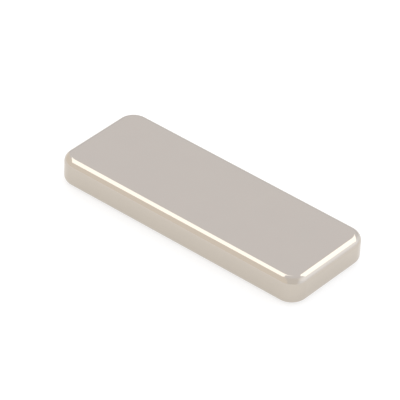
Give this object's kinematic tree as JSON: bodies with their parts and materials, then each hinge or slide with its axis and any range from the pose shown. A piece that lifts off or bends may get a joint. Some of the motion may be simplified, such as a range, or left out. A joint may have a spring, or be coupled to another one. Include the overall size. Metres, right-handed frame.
{
  "type": "block magnet",
  "caption": "Flat rectangular block magnet with rounded corners, tumbled edges and bright nickel plating, held by its broad pole faces.",
  "frame": {"origin": "centre of the lower pole face, which the magnet lies on", "axes": "+X along the length, +Y across the width, +Z through the thickness from the lower to the upper pole face"},
  "size_m": [0.04, 0.015, 0.004],
  "materials": {
    "nickel_plating": "bright nickel plating, near mirror with a faint satin haze"
  },
  "bodies": {
    "root": {"magnet_block": "nickel_plating"}
  },
  "joints": []
}
